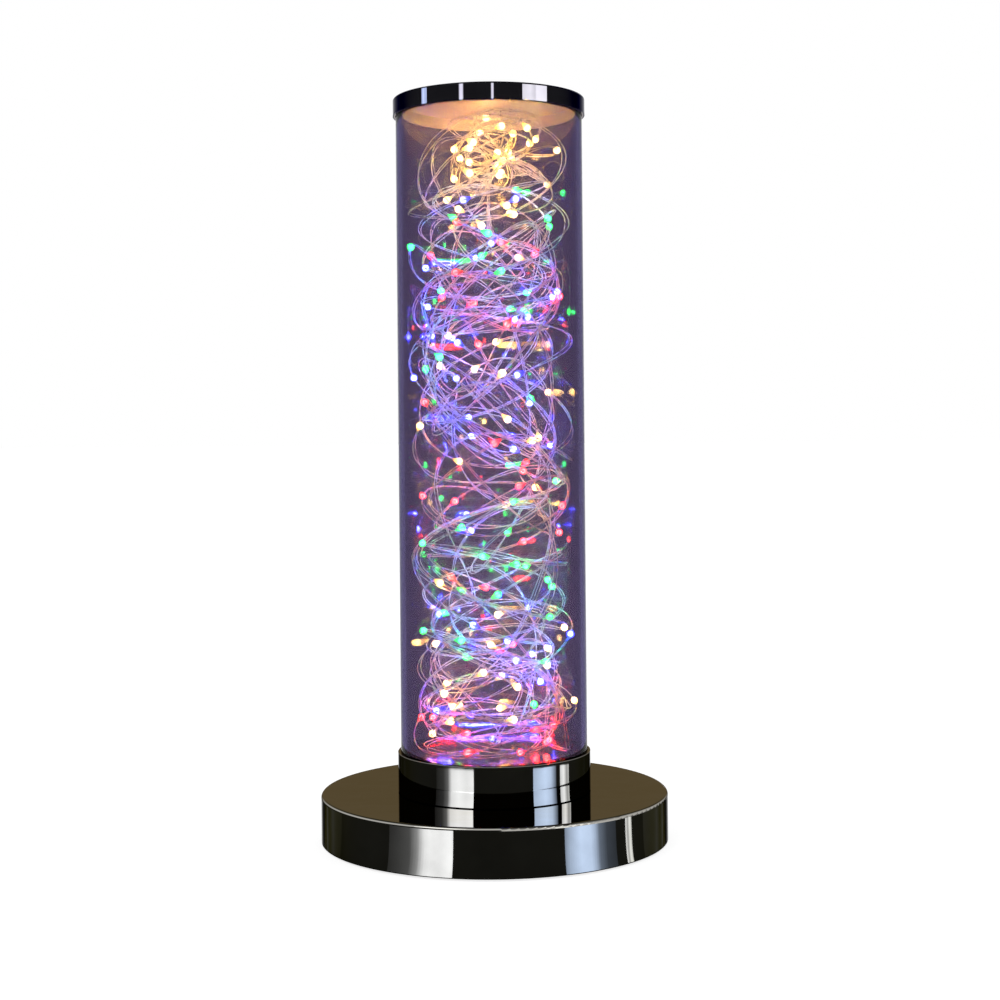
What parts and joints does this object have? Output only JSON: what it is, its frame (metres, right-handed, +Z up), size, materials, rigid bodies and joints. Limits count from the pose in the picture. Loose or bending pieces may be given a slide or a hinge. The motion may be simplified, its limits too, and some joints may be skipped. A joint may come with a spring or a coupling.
{
  "type": "table lamp",
  "caption": "Table lamp with a tall tinted clear tube full of tangled wire light strands, between a shallow plated cap and a collar on a low round weighted base with a rear switch and inlet.",
  "frame": {"origin": "on the table, under the middle of the base", "axes": "+Z up along the tube's axis, +Y to the back where the switch and the inlet are, +X to the right as seen from the front"},
  "size_m": [0.1854, 0.1854, 0.3965],
  "materials": {
    "plated_metal": "polished dark plating",
    "tinted_tube": "clear acrylic with a smoky tint",
    "mirror_sheet": "polished reflective sheet",
    "cast_weight": "as cast",
    "painted_plate": "matt black paint",
    "bare_steel": "zinc plated",
    "foot_rubber": "matt",
    "seal_rubber": "translucent silicone",
    "black_moulding": "fine texture",
    "white_moulding": "satin",
    "green_moulding": "satin",
    "rocker_plastic": "gloss",
    "terminal_brass": "tinned",
    "board_laminate": "solder mask",
    "capacitor_can": "printed sleeve",
    "red_insulation": "soft sheath",
    "black_insulation": "soft sheath",
    "strand_metal": "silvered wire",
    "warm_light": "clear resin, lit",
    "blue_light": "clear resin, lit",
    "green_light": "clear resin, lit",
    "red_light": "clear resin, lit"
  },
  "bodies": {
    "lamp": {"base_shell": "plated_metal", "base_weight": "cast_weight", "bottom_plate": "painted_plate", "plate_screws": "bare_steel", "rubber_feet": "foot_rubber", "threaded_nipple": "bare_steel", "lower_washer": "bare_steel", "lower_nut": "bare_steel", "upper_washer": "bare_steel", "upper_nut": "bare_steel", "tube_collar": "plated_metal", "tube_seat_ring": "seal_rubber", "inner_floor": "mirror_sheet", "floor_grommet": "foot_rubber", "clear_tube": "tinted_tube", "top_cap": "plated_metal", "cap_mirror": "mirror_sheet", "cap_seal_ring": "seal_rubber", "rear_panel": "black_moulding", "switch_housing": "black_moulding", "switch_pivot_pin": "bare_steel", "switch_terminals": "terminal_brass", "power_inlet": "black_moulding", "inlet_centre_pin": "bare_steel", "inlet_nut": "bare_steel", "inlet_terminals": "terminal_brass", "driver_board": "board_laminate", "board_standoffs": "white_moulding", "board_screws": "bare_steel", "input_terminal_block": "green_moulding", "output_header": "white_moulding", "driver_chip": "black_moulding", "driver_mosfets": "black_moulding", "driver_capacitor": "capacitor_can", "inlet_to_switch_lead": "red_insulation", "switch_to_board_lead": "red_insulation", "inlet_to_board_lead": "black_insulation", "strand_lead": "black_insulation", "strand_sleeve": "black_insulation", "warm_strand_wire": "strand_metal", "warm_strand_lights": "warm_light", "blue_strand_wire": "strand_metal", "blue_strand_lights": "blue_light", "green_strand_wire": "strand_metal", "green_strand_lights": "green_light", "red_strand_wire": "strand_metal", "red_strand_lights": "red_light"},
    "rocker": {"switch_rocker": "rocker_plastic"}
  },
  "joints": [
    {"name": "switch_rock", "type": "hinge", "parent": "lamp", "child": "rocker", "pos_m": [-0.0105, 0.08705, 0.0135], "axis": [0, 0, -1], "range_deg": [0, 24]}
  ]
}
